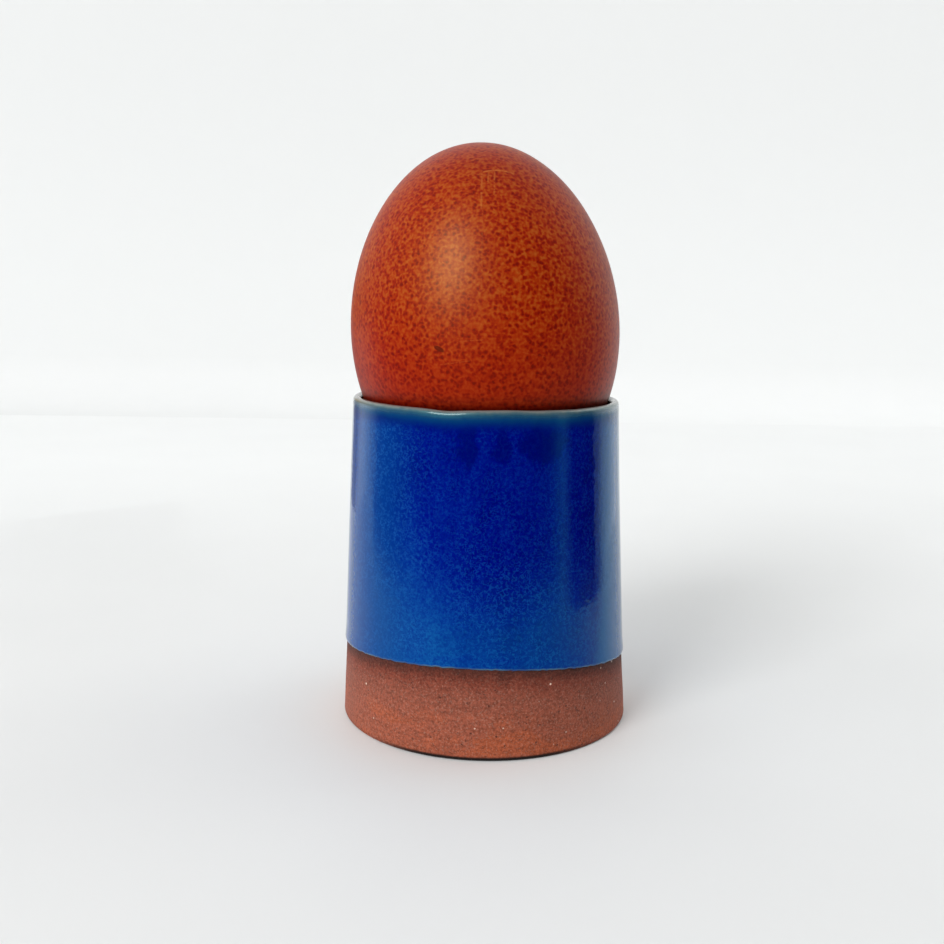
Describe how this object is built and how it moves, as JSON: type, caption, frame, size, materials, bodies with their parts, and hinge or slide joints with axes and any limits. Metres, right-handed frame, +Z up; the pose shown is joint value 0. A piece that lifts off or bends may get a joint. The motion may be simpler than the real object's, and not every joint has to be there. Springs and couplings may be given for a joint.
{
  "type": "egg in egg cup",
  "caption": "Whole brown hen's egg resting blunt end down in the mouth of a tall hand-thrown stoneware egg cup, blue glazed above a bare clay foot.",
  "frame": {"origin": "centre of the cup's flat base, on the surface that it stands on", "axes": "+Z up through the cup to the egg's pointed end, -Y the cup's front, +X to the right seen from the front"},
  "size_m": [0.0482, 0.0482, 0.0943],
  "materials": {
    "eggshell": "matt brown hen's eggshell with fine dark mottling, fine pores and a soft bloom",
    "blue_glaze": "glossy cobalt blue glaze over stoneware, speckled, breaking to pale grey-green at the lip",
    "bare_clay": "matt unglazed red-brown clay with fine grog"
  },
  "bodies": {
    "root": {"egg": "eggshell", "egg_cup": "blue_glaze"}
  },
  "joints": []
}
